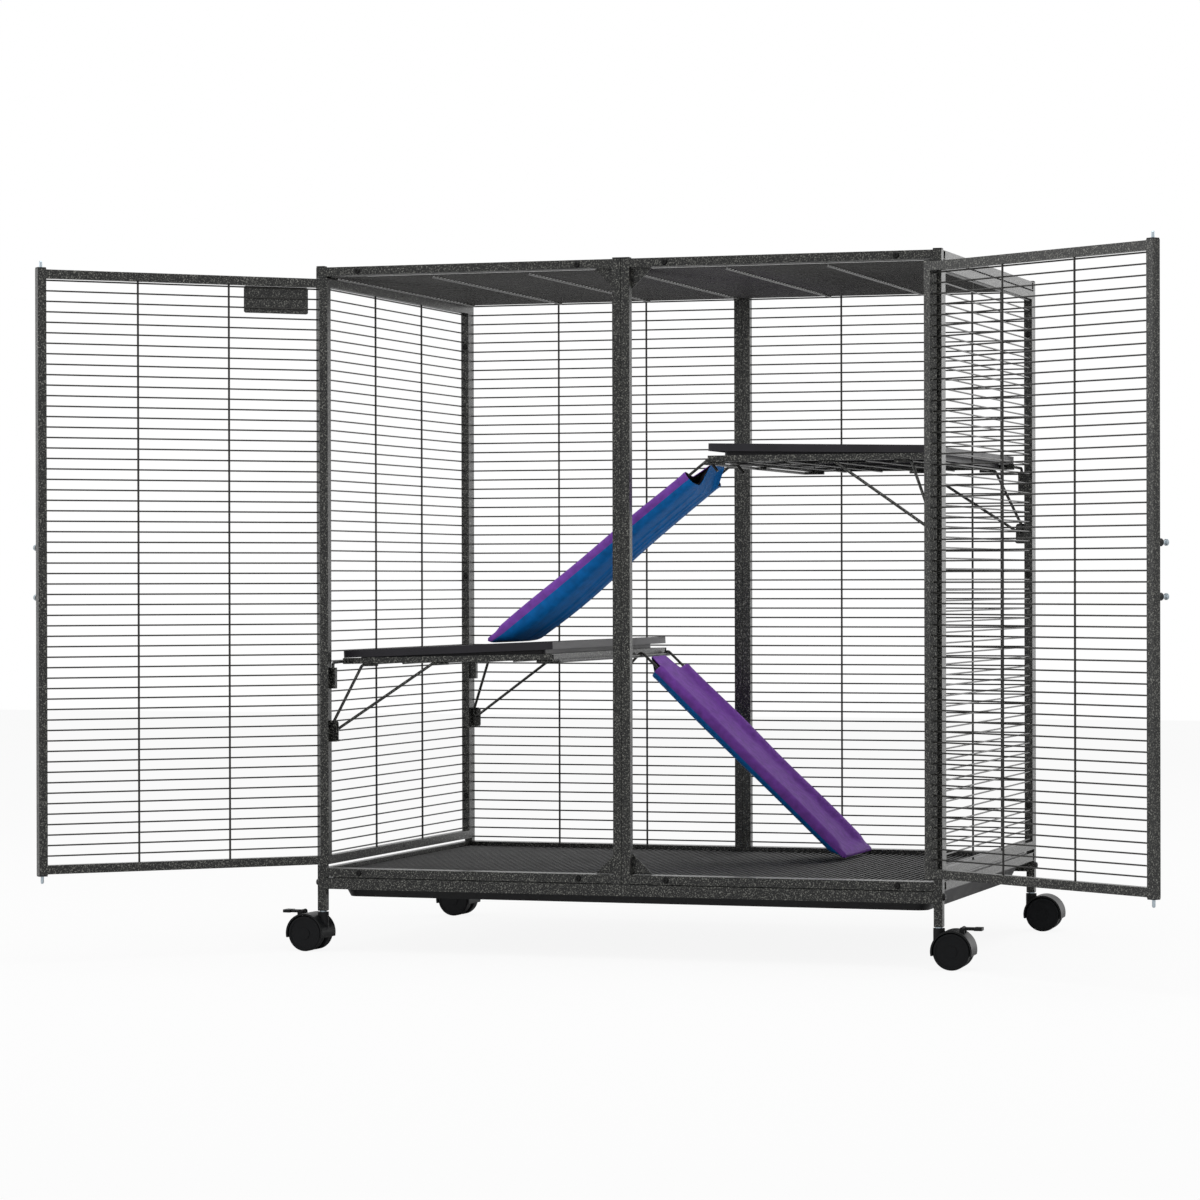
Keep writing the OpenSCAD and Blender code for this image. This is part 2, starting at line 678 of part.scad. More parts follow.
module shelf_frame(z, rise) {
    at_shelf(z, rise) {
        difference() {
            union() {
                for (y = [shelf_y0, cage_d - shelf_y0 - shelf_tube])
                    translate([0, y, 0]) box_tube([shelf_l, shelf_tube, shelf_tube], 0);
                translate([shelf_l - shelf_tube, shelf_y0 + shelf_tube, 0])
                    box_tube([shelf_tube, shelf_w - 2 * shelf_tube, shelf_tube], 1);
            }
            bar_x([shelf_l - 2, cage_d / 2, shelf_tube / 2], 3, vent_r);
        }
        for (x = [shelf_wire_x : shelf_wire_pitch : shelf_l - 2 * shelf_tube])
            bar_y([x, shelf_y0 + 1, -wire_d / 2 + weld_sink], shelf_w - 2, wire_d / 2);
        bent_bar([[shelf_l - ramp_bar_leg, bar_y0, bar_v], [shelf_l + ramp_bar_out, bar_y0, bar_v],
                  [shelf_l + ramp_bar_out, cage_d - bar_y0, bar_v],
                  [shelf_l - ramp_bar_leg, cage_d - bar_y0, bar_v]], ramp_bar_d / 2, 5);
        bar_x([shelf_l - shelf_tube, cage_d / 2, bar_v], shelf_tube + ramp_bar_out, ramp_bar_d / 2);
        bar_y([rest_u, shelf_y0 + shelf_tube - 0.6, shelf_tube - pan_body + rest_u * sin(pan_rise) - rest_r],
            shelf_w - 2 * shelf_tube + 1.2, rest_r);
        for (y = [shelf_y0 + shelf_w / 4, cage_d / 2, shelf_y0 + shelf_w * 3 / 4])
            bar_x([20, y, wire_d / 2], shelf_l - shelf_tube - 20, wire_d / 2);
    }
    shelf_rods(z, rise);
    on_rear() shelf_rods(z, rise);
}

// Moulded pan: a rim skirt with a stepped body below it, open underneath.
module shelf_pan(z, rise) {
    top_t = 2.4;
    y0 = shelf_y0 - 0.5;
    w = shelf_w + 1;
    l = shelf_l + 0.5;
    at_shelf(z, rise) translate([0, 0, shelf_tube + seat]) rotate([0, -pan_rise, 0])
    translate([0, y0, 0]) difference() {
        union() {
            linear_extrude(skirt_h) round_rect([l, w], 6);
            translate([body_inset, body_inset, -pan_body]) linear_extrude(pan_body + 1)
                round_rect([l - 2 * body_inset, w - 2 * body_inset], 10);
        }
        translate([2, 2, -1]) linear_extrude(skirt_h - top_t + 1) difference() {
            round_rect([l - 4, w - 4], 5);
            translate([body_inset - 2, body_inset - 2]) round_rect([l - 2 * body_inset, w - 2 * body_inset], 10);
        }
        translate([body_inset + 2.2, body_inset + 2.2, -pan_body - 1])
            linear_extrude(pan_body + skirt_h - top_t + 1)
            round_rect([l - 2 * body_inset - 4.4, w - 2 * body_inset - 4.4], 8);
        translate([7, 7, skirt_h - pan_dish]) linear_extrude(2) round_rect([l - 14, w - 14], 5);
    }
}

// ---------- ramps, drawn below the free end of a left-hand shelf ----------

// Distance and height of the ramp bar in front of a shelf.
function bar_pt(z, rise) = shelf_pt(shelf_l + ramp_bar_out, bar_v, z, rise);

foot_over = ramp_rod_d / 2 + cover_gap + cover_t;      // how far the cover reaches past the rods
hook_lift = ramp_bar_d / 2 + ramp_rod_d / 2 + 0.3;     // the side rods pass this far over the bar
cover_low = cover_gap + cover_t + wire_d + ramp_rod_d / 2 - hook_lift;

// Slope at which the lower edge of the foot comes to rest this far below the bar.
function ramp_slope(drop, reach) = asin(drop / norm([reach, cover_low])) - atan(cover_low / reach);

// Height of the left pan's dished floor at a distance from the left side of the cabinet.
function pan_z(x) = left_shelf_z + (shelf_tube + seat + skirt_h - pan_dish) / cos(left_rise + pan_rise)
    + (x - shelf_in) * tan(left_rise + pan_rise);

left_bar = bar_pt(left_shelf_z, left_rise);
right_bar = bar_pt(right_shelf_z, right_rise);
lower_slope = ramp_slope(left_bar[1] - floor_wire_top - seat, lower_ramp_l + foot_over);
upper_reach = upper_ramp_l + foot_over;
upper_first = ramp_slope(right_bar[1] - pan_z(shelf_l), upper_reach);
upper_foot_x = cage_w - right_bar[0] - upper_reach * cos(upper_first) + cover_low * sin(upper_first);
upper_slope = ramp_slope(right_bar[1] - pan_z(upper_foot_x) - seat, upper_reach);

// Ramp axes: x runs down the slope from the shelf's ramp bar, y across, z out of the tread.
module at_ramp(bar, y, slope) translate([bar[0], y, bar[1]]) rotate([0, slope, 0]) children();

// Frame of two side rods joined round the foot, with hooks that hang on the shelf's ramp bar.
module ramp_frame(length) {
    r = ramp_rod_d / 2;
    up = hook_lift;
    back = -hook_lift;
    hook_down = 17;
    lap = 30;                                  // the foot's ends run up beside the side rods
    first_rung = 45;
    rung_pitch = 55;
    for (s = [-1, 1])
        bent_bar([[back, s * ramp_w / 2, -hook_down], [back, s * ramp_w / 2, up],
                  [length, s * ramp_w / 2, up]], r, 4.5);
    bent_bar([[length - lap, -ramp_w / 2, up], [length, -ramp_w / 2, up], [length, ramp_w / 2, up],
              [length - lap, ramp_w / 2, up]], r, 8);
    for (x = [first_rung : rung_pitch : length - lap])
        bar_y([x, -ramp_w / 2 - 1, up - r - wire_d / 2 + weld_sink], ramp_w + 2, wire_d / 2);
}

// Fabric sleeve over the ramp: two layers joined at the edges, dished between the side rods.
module ramp_cover(length) {
    r = ramp_rod_d / 2;
    half = ramp_w / 2 + r + cover_gap;
    start = 33;
    tongue = 23;
    tongue_w = ramp_w * 0.56;
    run = length + r + cover_gap - start;
    w = 2 * (half + cover_t);
    h = hook_lift + r + cover_gap + cover_low + cover_t;
    translate([start, 0, -cover_low]) {
        difference() {
            translate([0, -w / 2, 0]) rotate([90, 0, 90]) linear_extrude(run + cover_t)
                round_rect([w, h], 3.5);
            translate([-1, -half, cover_t]) cube([run + 1, 2 * half, h - 2 * cover_t]);
        }
        translate([-tongue, -tongue_w / 2, h - cover_t]) cube([tongue + eps, tongue_w, cover_t]);
    }
}

// ---------- casters, drawn with the stem at the origin and the wheels behind it along +x ----------

axle_r = 3;
hood_t = 2.4;
wheel_gap = 0.8;
web = 9;
axle_z = wheel_r - caster_h;
brake_x = trail + 13;
brake_z = axle_z + 29.5;

module stem() {
    bar_z([0, 0, -12], 38, stem_r);
    bar_z([0, 0, -2.2], 1.3, 5);
}

module hood(brake) {
    r = wheel_r + wheel_gap + hood_t;
    difference() {
        union() {
            bar_y([trail, -caster_w / 2, axle_z], caster_w, r);
            bar_z([0, 0, -26], 23.6, 8);
            if (brake) for (y = [-10, 7]) {
                bar_y([brake_x, y, brake_z], 3, 3.4);
                translate([brake_x - 3.4, y, brake_z - 8]) cube([6.8, 3, 8]);
            }
        }
        for (y = [-caster_w / 2 - 1, web / 2])
            bar_y([trail, y, axle_z], caster_w / 2 - web / 2 + 1, wheel_r + wheel_gap);
        translate([trail - 60, -60, axle_z - 60 - 6]) cube([120, 120, 60]);
        bar_z([0, 0, -12.4], 20, stem_r + slip);
        bar_y([trail, -web, axle_z], 2 * web, axle_r + slip);
        if (brake) {
            translate([brake_x - 5, -7, brake_z - 6]) cube([30, 14, 20]);
            bar_y([brake_x, -12, brake_z], 24, 1.6 + slip);
        }
    }
}

module wheels() {
    inner = web / 2 + 0.6;
    width = caster_w / 2 - inner - 0.6;
    bar_y([trail, -inner - 1, axle_z], 2 * inner + 2, axle_r);
    for (s = [-1, 1]) translate([trail, 0, axle_z]) rotate([-90 * s, 0, 0]) rotate_extrude($fn = 96)
        difference() {
            translate([0, inner]) intersection() {
                translate([-wheel_r, 0]) round_rect([2 * wheel_r, width], 2.5);
                square([wheel_r, width]);
            }
            translate([8, inner + width - 0.8]) square([wheel_r - 12, 1]);
        }
}

// Brake pedal on its own cross pin.
module brake() {
    bar_y([brake_x, -9.8, brake_z], 19.6, 1.6);
    bar_y([brake_x, -6.6, brake_z], 13.2, 3.2);
    translate([brake_x, -6.6, brake_z - 1.2]) cube([22, 13.2, 3.6]);
    translate([brake_x + 16, -8.5, brake_z - 1.6]) cube([11, 17, 4.4]);
}

module at_leg(side, back) {
    x = side < 0 ? tube / 2 : cage_w - tube / 2;
    y = back ? cage_d - tube / 2 : tube / 2;
    translate([x, y, 0]) rotate([0, 0, side < 0 ? 180 - caster_turn : caster_turn]) children();
}
caster_turn = 3;

// ---------- nodes ----------

module front_frame_left() color("DimGray") in_place() front_half();
module front_frame_right() color("DimGray") in_place() on_right() front_half();
module rear_frame_left() color("DimGray") in_place() rear_half();
module rear_frame_right() color("DimGray") in_place() on_right() rear_half();
module side_frame_left() color("DimGray") in_place() side_frame();
module side_frame_right() color("DimGray") in_place() on_right() side_frame();
module roof_frame() color("DimGray") in_place() level_frame(rail_top_z);
module floor_frame() color("DimGray") in_place() level_frame(floor_rail_z);
module rear_grille_left() color("Gray") in_place() rear_grille();
module rear_grille_right() color("Gray") in_place() on_right() rear_grille();
module side_grille_left() color("Gray") in_place() side_grille();
module side_grille_right() color("Gray") in_place() on_right() side_grille();
module roof_wires() color("Gray") in_place() roof_grille();
module floor_wires() color("Gray") in_place() floor_grille();
module lower_rails() color("DimGray") in_place() {
    lower_rail();
    on_rear() lower_rail();
}
module rail_plugs() color("Silver") in_place() for (m = [0, 1], n = [0, 1])
    four_way(m, n) rail_plug();
module frame_screws() color("Silver") in_place() for (n = [0, 1])
    four_way(0, n) for (x = [screw_side, cage_w / 2 - screw_mid, cage_w / 2 + screw_mid, cage_w - screw_side],
                        z = [rail_top_z + tube / 2, floor_rail_z + tube / 2])
        screw_y([x, 0, z], tube + 4, screw_r);
module leg_bolts() color("Silver") in_place() for (m = [0, 1], n = [0, 1]) four_way(m, n) leg_bolt();
module side_screws() color("Silver") in_place() for (m = [0, 1], n = [0, 1])
    four_way(m, n) for (z = side_screw_zs) translate([0, 2 * tube, 0]) mirror([0, 1, 0])
        screw_y([tube / 2, 0, z], tube + 4, screw_r);
module tube_caps() color("Black") in_place() for (m = [0, 1], n = [0, 1]) four_way(m, n) {
    for (x = [0, middle_x]) translate([x, 0, frame_h]) tube_cap();
    translate([middle_x, tube, floor_rail_z]) rotate([180, 0, 0]) tube_cap(rail_gap);
}
module leg_sockets() color("Black") in_place() for (m = [0, 1], n = [0, 1]) four_way(m, n) leg_socket();
module hinge_pins() color("Silver") in_place() for (m = [0, 1]) four_way(m, 0)
    for (z = hinge_zs) hinge_pin(z);
module shelf_brackets() color("DimGray") in_place() {
    shelf_brackets_pair(left_shelf_z);
    on_right() shelf_brackets_pair(right_shelf_z);
}
module tray_node() color("Black") in_place() tray();
module door_frame_left() color("DimGray") in_place() open_door(left_open) door_frame();
module door_frame_right() color("DimGray") in_place() on_right() open_door(right_open) door_frame();
module door_grille_left() color("Gray") in_place() open_door(left_open) door_grille();
module door_grille_right() color("Gray") in_place() on_right() open_door(right_open) door_grille();
module door_caps_left() color("Black") in_place() open_door(left_open) door_caps();
module door_caps_right() color("Black") in_place() on_right() open_door(right_open) door_caps();
module label_plate_node() color("Silver") in_place() open_door(left_open) label_plate();
module latch_upper_left() color("Silver") in_place() open_door(left_open) upper_latch();
module latch_lower_left() color("Silver") in_place() open_door(left_open) lower_latch();
module latch_upper_right() color("Silver") in_place() on_right() open_door(right_open) upper_latch();
module latch_lower_right() color("Silver") in_place() on_right() open_door(right_open) lower_latch();
module shelf_frame_left() color("DimGray") in_place() shelf_frame(left_shelf_z, left_rise);
module shelf_frame_right() color("DimGray") in_place() on_right() shelf_frame(right_shelf_z, right_rise);
module shelf_pan_left() color("Black") in_place() shelf_pan(left_shelf_z, left_rise);
module shelf_pan_right() color("Black") in_place() on_right() shelf_pan(right_shelf_z, right_rise);
module lower_ramp_place() in_place()
    at_ramp(left_bar, lower_ramp_y, lower_slope) children();
module upper_ramp_place() in_place() on_right()
    at_ramp(right_bar, upper_ramp_y, upper_slope) children();
module ramp_frame_lower() color("Gray") lower_ramp_place() ramp_frame(lower_ramp_l);
module ramp_frame_upper() color("Gray") upper_ramp_place() ramp_frame(upper_ramp_l);
module ramp_cover_lower() color("MediumPurple") lower_ramp_place() ramp_cover(lower_ramp_l);
module ramp_cover_upper() color("MediumPurple") upper_ramp_place() ramp_cover(upper_ramp_l);
module caster_stems() color("Silver") in_place() for (s = [-1, 1], b = [false, true]) at_leg(s, b) stem();
module hood_front_left() color("Black") in_place() at_leg(-1, false) hood(true);
module hood_front_right() color("Black") in_place() at_leg(1, false) hood(true);
module hood_rear_left() color("Black") in_place() at_leg(-1, true) hood(false);
module hood_rear_right() color("Black") in_place() at_leg(1, true) hood(false);
module wheels_front_left() color("Black") in_place() at_leg(-1, false) wheels();
module wheels_front_right() color("Black") in_place() at_leg(1, false) wheels();
module wheels_rear_left() color("Black") in_place() at_leg(-1, true) wheels();
module wheels_rear_right() color("Black") in_place() at_leg(1, true) wheels();
module brake_left() color("Black") in_place() at_leg(-1, false) brake();
module brake_right() color("Black") in_place() at_leg(1, false) brake();

// Children as drawn, mirrored to the right when m is 1 and to the rear when n is 1.
module four_way(m, n)
    translate([m * cage_w, n * cage_d, 0]) mirror([m, 0, 0]) mirror([0, n, 0]) children();

front_frame_left();
front_frame_right();
rear_frame_left();
rear_frame_right();
side_frame_left();
side_frame_right();
roof_frame();
floor_frame();
rear_grille_left();
rear_grille_right();
side_grille_left();
side_grille_right();
roof_wires();  // roof_grille
floor_wires();  // floor_grille
lower_rails();
rail_plugs();
frame_screws();
leg_bolts();
side_screws();
tube_caps();
leg_sockets();
hinge_pins();
shelf_brackets();
tray_node();  // tray
door_frame_left();
door_frame_right();
door_grille_left();
door_grille_right();
door_caps_left();
door_caps_right();
label_plate_node();  // label_plate
latch_upper_left();
latch_lower_left();
latch_upper_right();
latch_lower_right();
shelf_frame_left();
shelf_frame_right();
shelf_pan_left();
shelf_pan_right();
ramp_frame_lower();
ramp_frame_upper();
ramp_cover_lower();
ramp_cover_upper();
caster_stems();
hood_front_left();
hood_front_right();
hood_rear_left();
hood_rear_right();
wheels_front_left();
wheels_front_right();
wheels_rear_left();
wheels_rear_right();
brake_left();
brake_right();
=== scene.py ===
"""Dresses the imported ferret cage: hammered paint, wire, plastics, fabric ramps and a plain white stage."""

import math
from collections import namedtuple

import bmesh
import bpy
from mathutils import Matrix, Vector


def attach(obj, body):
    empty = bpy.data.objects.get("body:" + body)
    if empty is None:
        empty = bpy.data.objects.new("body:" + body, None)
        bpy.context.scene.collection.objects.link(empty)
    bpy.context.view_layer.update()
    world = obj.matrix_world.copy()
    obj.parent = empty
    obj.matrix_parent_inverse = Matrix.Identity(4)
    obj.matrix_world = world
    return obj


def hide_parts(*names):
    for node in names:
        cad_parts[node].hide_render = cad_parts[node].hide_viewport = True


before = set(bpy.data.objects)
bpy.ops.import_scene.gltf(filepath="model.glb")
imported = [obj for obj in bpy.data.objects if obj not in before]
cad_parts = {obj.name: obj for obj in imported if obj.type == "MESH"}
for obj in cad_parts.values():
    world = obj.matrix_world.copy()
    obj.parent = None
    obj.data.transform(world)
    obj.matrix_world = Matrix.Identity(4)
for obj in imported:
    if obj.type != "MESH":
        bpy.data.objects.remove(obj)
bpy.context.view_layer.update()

bl_info = {
    "name": "Ferret cage looks",
    "version": (1, 0, 0),
    "blender": (4, 5, 0),
    "location": "View3D > Sidebar > Cage",
    "description": "Finishes and soft pieces for a two-door ferret cage on casters",
    "category": "Object",
}

MM = 0.001

# Sizes repeated from the solids, in millimetres, from the left front leg end.
CAGE_W, CAGE_D, CASTER_H = 914.4, 622.8, 58.0
HINGE = (13.2, -3.0)
DOOR_ANGLE = {"left": 135.8, "right": 145.8}
LATCH_ROD_X = 436.65
LATCH_KNOBS = {"upper": 518.0, "lower": 449.0}
DOOR_FACE = -0.3
BOSS_GAP = 0.2  # between a boss and the face of the door tube
RUNG_FIRST, RUNG_PITCH = 45.0, 55.0
# Each ramp hangs on its bar; its cover bellies most at a share of its length, by so many millimetres.
RAMPS = {
    "lower": {
        "bar": (349.859, 500.0, 357.083), "slope": 43.419, "length": 432.0, "right": False,
        "belly_at": 0.3, "belly": 2.5,
    },
    "upper": {
        "bar": (349.9, 132.0, 634.3), "slope": 38.108, "length": 405.0, "right": True,
        "belly_at": 0.74, "belly": 8.0,
    },
}

# Half of a ramp cover's cross-section, from the middle of the underside round to the middle of the tread.
HALF_SECTION = [
    (0, -12.6), (24, -12.4), (48, -11.6), (64, -9.8), (72.5, -5.6), (76, 0.4), (75.4, 6.6),
    (71.5, 11.2), (65, 12.4), (58, 10.4), (51.5, 6.6), (44, 4.8), (24, 4.4), (0, 4.3),
]
BELLY_DEPTH = 12  # depth in that section at which the belly has its full measure
SEAM_Z = 0.6  # height at which the upper cloth meets the lower one
PAST_FOOT = 4.7  # the cover ends this far past the middle of the foot rod
CURVE_STEPS = 24  # between two points of the section
AROUND, ALONG = 180, 150  # steps round a cover and along it

# Lie of the cover's cloth, in metres.
TREAD_HALF, TREAD_FADE = 0.046, 0.014  # half the tread's width, and the strip over which it ends
UNDER_HALF = 0.066  # half the width of the underside that folds
CREASE, CREASE_ALONG, CREASE_ACROSS = 0.0003, 0.0175, 0.034  # height, and metres per radian
CREASE_BEND, CREASE_BEND_RUN = 2.3, 0.021  # how far they wind, in radians, and metres per radian
EDGE_WAVE, EDGE_ALONG, EDGE_ACROSS, EDGE_SLANT = 0.0006, 0.031, 0.07, 3  # wave along the full edges
TONGUE_FADE, TONGUE_IN = 0.012, 0.008  # the tongue's rounded sides, and how far inside they start
TONGUE_Z = 0.0016  # the lower cloth's height in the tongue, against the upper one
TONGUE_JOIN, TONGUE_PART = 0.016, 0.034  # from here, and over this run, the two cloths part
DRAWN_BELOW, DRAWN_Z = 0.003, 0.0005  # what lies below the first height is drawn towards the second
DRAWN_RUN, DRAWN_SHARE = 0.03, 0.9  # length before the foot where that happens, and how fully
FOOT_TOP, FOOT_MID = 0.0079, 0.0045  # over the foot rod: top of the cloth, and middle of its round end
FOOT_ROUND = 0.005  # how far back from the end the cloth is round
FOOT_RUN, FOOT_RISE = 0.03, 0.02  # the upper cloth starts to rise this far before the end, over this run
HEM, HEM_IN, HEM_HALF = 0.0005, 0.003, 0.004  # height, place behind the mouth and half width
BELLY_SPREAD = 0.26  # width of the belly, as a share of the cover's length
# Long folds in the underside: start across, lean towards the foot, half width.
FOLDS = ((-0.031, 0.02, 0.0042), (0.004, -0.012, 0.0036), (0.036, -0.026, 0.005))
FOLD_WANDER, FOLD_WANDER_RUN = 0.003, 0.071  # sideways, and metres per radian
FOLD_PHASE = 90  # radians of wander for each metre across, so that no two folds run alike
FOLD_FADE_TOP, FOLD_FADE_FOOT = 0.09, 0.11  # over these lengths from the two ends

# Real sizes of the patterns, in millimetres. One pixel of the photograph's view is about 1.5 mm.
FLECK, FLECK_CLOUD = 1.6, 2.6
SHADE_CLOUD = 45  # slow changes of shade and gloss over a piece
THREAD = 1.4  # twice the usual 0.7: about a pixel, so the weave shows only in closer views
MOTTLE = 12
WAVE_BANDS = 20 / math.tau  # bands that a wave texture of scale 1 draws in one unit

ROUGHNESS_CHANGE = 0.07  # either way of an even finish's own roughness
EvenFinish = namedtuple(
    "EvenFinish", "colour grain depth roughness metallic variation gloss", defaults=(0.0, 0.25, 0.3)
)
# Named for what the real ones are, with grain and depth in millimetres. The grain is finer than a
# pixel of the photograph's view, so that there it only softens the highlights.
EVEN_FINISHES = {
    # thin powder coat on welded wire: nearly smooth, with a narrow highlight along each wire
    "powder_coated_wire": EvenFinish("wire", 0.8, 0.03, roughness=0.3, metallic=0.1, gloss=0.4),
    # the same coat on the floor wires, duller, so that they mirror less of the white surround, and darker as
    # painted shade over the floor
    "powder_coated_floor_wire": EvenFinish(
        "floor_wire", 0.8, 0.03, roughness=0.42, metallic=0.1, gloss=0.35
    ),
    # the same coat on the roof wires, glossier, so that they catch the light
    "powder_coated_roof_wire": EvenFinish("wire", 0.8, 0.03, roughness=0.26, metallic=0.1, gloss=0.9),
    # bright zinc plate on steel: pale and cold, with soft reflections
    "zinc_plated_steel": EvenFinish(
        "zinc", 0.5, 0.01, roughness=0.3, metallic=1.0, variation=0.12, gloss=0.5
    ),
    # black oxide on steel: dull, with a faint metal glint
    "black_oxide_steel": EvenFinish("screw", 0.5, 0.01, roughness=0.35, metallic=0.5),
    # moulded nylon: black and satin, and a little smoother on the small bosses
    "moulded_nylon": EvenFinish("cap", 0.5, 0.02, roughness=0.5),
    "boss_nylon": EvenFinish("cap", 0.5, 0.02, roughness=0.42),
    # black moulded sheet plastic: fine grain on the tray, and a low sheen on the pans
    "tray_sheet_plastic": EvenFinish("tray", 0.7, 0.04, roughness=0.48),
    "pan_sheet_plastic": EvenFinish("pan", 0.7, 0.03, roughness=0.36),
    # black moulded nylon of the casters: even, with little gloss
    "caster_nylon": EvenFinish("caster", 0.6, 0.03, roughness=0.45, gloss=0.2),
    # black moulded wheels: dull
    "moulded_wheel": EvenFinish("tread", 0.6, 0.03, roughness=0.55, gloss=0.15),
}

NODES_BY_FINISH = {
    "hammered_powder_coat": [
        "front_frame_left", "front_frame_right", "rear_frame_left", "rear_frame_right",
        "side_frame_left", "side_frame_right", "roof_frame", "floor_frame", "lower_rails",
        "shelf_brackets", "door_frame_left", "door_frame_right", "shelf_frame_left",
        "shelf_frame_right", "label_plate",
    ],
    "powder_coated_wire": [
        "rear_grille_left", "rear_grille_right", "side_grille_left", "side_grille_right",
        "door_grille_left", "door_grille_right", "ramp_frame_lower", "ramp_frame_upper",
    ],
    "powder_coated_floor_wire": ["floor_grille"],
    "powder_coated_roof_wire": ["roof_grille"],
    "zinc_plated_steel": [
        "hinge_pins", "latch_upper_left", "latch_lower_left", "latch_upper_right",
        "latch_lower_right", "caster_stems",
    ],
    "black_oxide_steel": ["frame_screws", "leg_bolts", "side_screws", "rail_plugs"],
    "moulded_nylon": ["tube_caps", "leg_sockets", "door_caps_left", "door_caps_right"],
    "tray_sheet_plastic": ["tray"],
    "pan_sheet_plastic": ["shelf_pan_left", "shelf_pan_right"],
    "caster_nylon": [
        "hood_front_left", "hood_front_right", "hood_rear_left", "hood_rear_right",
        "brake_left", "brake_right",
    ],
    "moulded_wheel": [
        "wheels_front_left", "wheels_front_right", "wheels_rear_left", "wheels_rear_right",
    ],
}

# Lamps: place and square size, in metres. All look at the middle of the cage.
LAMPS = {
    "behind": ((2.9, 3.6, 1.2), 2.4),
    "left": ((-3.2, -1.2, 1.5), 2.2),
    "over": ((0.3, -0.6, 3.2), 2.6),
}
CAGE_MIDDLE = (0, 0, 0.5)
FLOOR_HALF = 9
FLOOR_GLOW = 0.9  # share of its own white; the rest is lit paper, which carries the shadow

# Camera, fitted to the photograph's straight edges: place in metres, turn in degrees, focal length in
# the photograph's pixels and sensor width in millimetres.
CAMERA_AT = (1.643706, -5.414508, 0.527853)
YAW, PITCH, ROLL = 18.169, -0.278, -0.118
FOCAL_PIXELS, PHOTO_PIXELS, SENSOR = 3846.544, 1200, 36


def srgb(code):
    """Linear colour of a hex sRGB code such as #3a3c3c."""
    out = []
    for i in (1, 3, 5):
        c = int(code[i : i + 2], 16) / 255
        out.append(c / 12.92 if c <= 0.04045 else ((c + 0.055) / 1.055) ** 2.4)
    return tuple(out)


def add(tree, kind, inputs=None, stops=(), **settings):
    """Adds a node with its settings, its inputs as values or links, and a colour ramp's stops."""
    made = tree.nodes.new(kind)
    for key, value in settings.items():
        setattr(made, key, value)
    for key, value in (inputs or {}).items():
        if isinstance(value, bpy.types.NodeSocket):
            tree.links.new(value, made.inputs[key])
        else:
            made.inputs[key].default_value = value
    for i, (position, colour) in enumerate(stops):
        made.color_ramp.elements[i].position = position
        made.color_ramp.elements[i].color = (*colour, 1)
    return made


def shades(colour, darker, lighter):
    """Two shades of a colour, each by its own factor."""
    return [c * darker for c in colour], [min(c * lighter, 1) for c in colour]


def colour_prop(name, description, code):
    return bpy.props.FloatVectorProperty(
        name=name, description=description, subtype="COLOR", size=3, min=0, max=1, default=srgb(code)
    )


def size_prop(name, description, value):
    return bpy.props.FloatProperty(
        name=name, description=description, default=value, min=0, max=1, unit="LENGTH", precision=5
    )


def watt_prop(name, description, value):
    return bpy.props.FloatProperty(
        name=name, description=description, default=value, min=0, max=500, unit="POWER"
    )


class CageColours(bpy.types.PropertyGroup):
    """Colours of the cage's finishes."""

    paint: colour_prop("Paint", "Darker ground of the hammered paint", "#0b0c0c")
    paint_fleck: colour_prop("Fleck", "Lighter flecks of the hammered paint", "#80807a")
    wire: colour_prop("Wire", "Paint on the wires", "#262523")
    # painted shade: the wires' own coat, darkened for the shade over the floor
    floor_wire: colour_prop("Floor wire", "Paint on the floor wires", "#141414")
    zinc: colour_prop("Zinc", "Zinc plate on pins, rods and stems", "#aeb9c0")
    screw: colour_prop("Screw", "Black oxide on the screws", "#1d1d1d")
    cap: colour_prop("Cap", "Nylon of the tube caps", "#151516")
    tray: colour_prop("Tray", "Moulded tray", "#131315")
    pan: colour_prop("Pan", "Moulded shelf pans", "#1f1d23")
    ramp_top: colour_prop("Ramp top", "Upper side of the ramp covers", "#7b46a8")
    ramp_under: colour_prop("Ramp underside", "Lower side of the ramp covers", "#0769b3")
    # painted shade: a near-black inside that stands for the shade within the sleeves
    lining: colour_prop("Lining", "Inside of the ramp covers", "#131018")
    caster: colour_prop("Caster", "Nylon of the caster hoods", "#121314")
    tread: colour_prop("Tread", "Caster wheels", "#111214")


class RampCover(bpy.types.PropertyGroup):
    """Shape of the fabric ramp covers."""

    dip: size_prop("Dip", "Dip of the tread between two rungs", 0.001)
    fold: size_prop("Fold", "Height of the long folds below", 0.0019)
    cloth: size_prop("Cloth", "Thickness of the cloth", 0.0009)
    mouth: size_prop("Mouth", "Distance of the cover's shoulders from the bar", 0.033)
    tongue: size_prop("Tongue", "Reach of the tongue between the hooks", 0.0275)
    tongue_half: size_prop("Tongue half", "Half the width of the tongue", 0.041)


class StageLight(bpy.types.PropertyGroup):
    """Plain studio light."""

    fill: bpy.props.FloatProperty(
        name="Fill", description="Level of the surrounding light", default=0.55, min=0, max=2
    )
    behind: watt_prop("Behind", "Lamp behind at the right", 36)
    left: watt_prop("Left", "Lamp at the left", 18)
    over: watt_prop("Over", "Lamp overhead", 45)


# ---------- finishes ----------


def material_tree(name):
    """A new material and its empty node tree."""
    material = bpy.data.materials.new(name)
    material.use_nodes = True
    material.node_tree.nodes.clear()
    return material, material.node_tree


